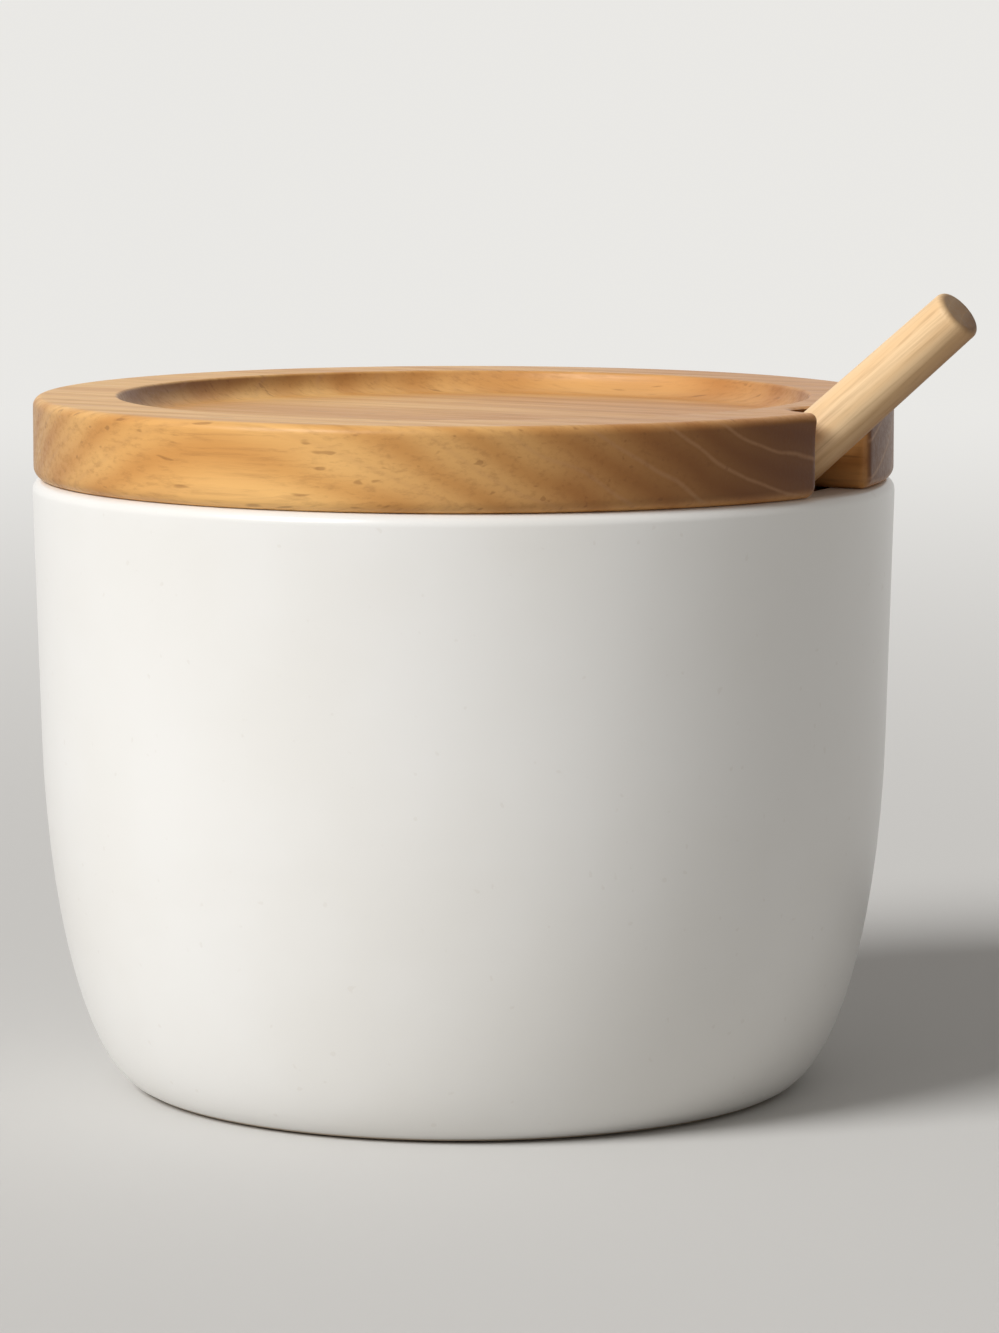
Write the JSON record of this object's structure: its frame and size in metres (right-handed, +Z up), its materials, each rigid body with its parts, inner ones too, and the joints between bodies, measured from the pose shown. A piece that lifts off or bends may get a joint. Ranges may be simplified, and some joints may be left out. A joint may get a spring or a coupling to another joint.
{
  "type": "honey pot",
  "caption": "Round stoneware honey pot with a lift-off wooden lid, notched at its edge, and a grooved wooden dipper leaning inside",
  "frame": {"origin": "the middle of the pot's foot ring, on the table", "axes": "+Z up the pot's axis, +X to the lid's notch, where the dipper's handle comes out"},
  "size_m": [0.1266, 0.11, 0.103],
  "materials": {
    "glaze": "satin white glaze",
    "lid_wood": "oiled, warm brown",
    "dipper_wood": "bare, pale"
  },
  "bodies": {
    "pot": {"pot_body": "glaze"},
    "lid": {"lid": "lid_wood"},
    "dipper": {"dipper": "dipper_wood"}
  },
  "joints": [
    {"name": "lid_lift", "type": "slide", "parent": "pot", "child": "lid", "axis": [0, 0, 1], "range_m": [0, 0.06]},
    {"name": "dipper_draw", "type": "slide", "parent": "pot", "child": "dipper", "axis": [0.7649, 0, 0.6441], "range_m": [0, 0.045]}
  ]
}
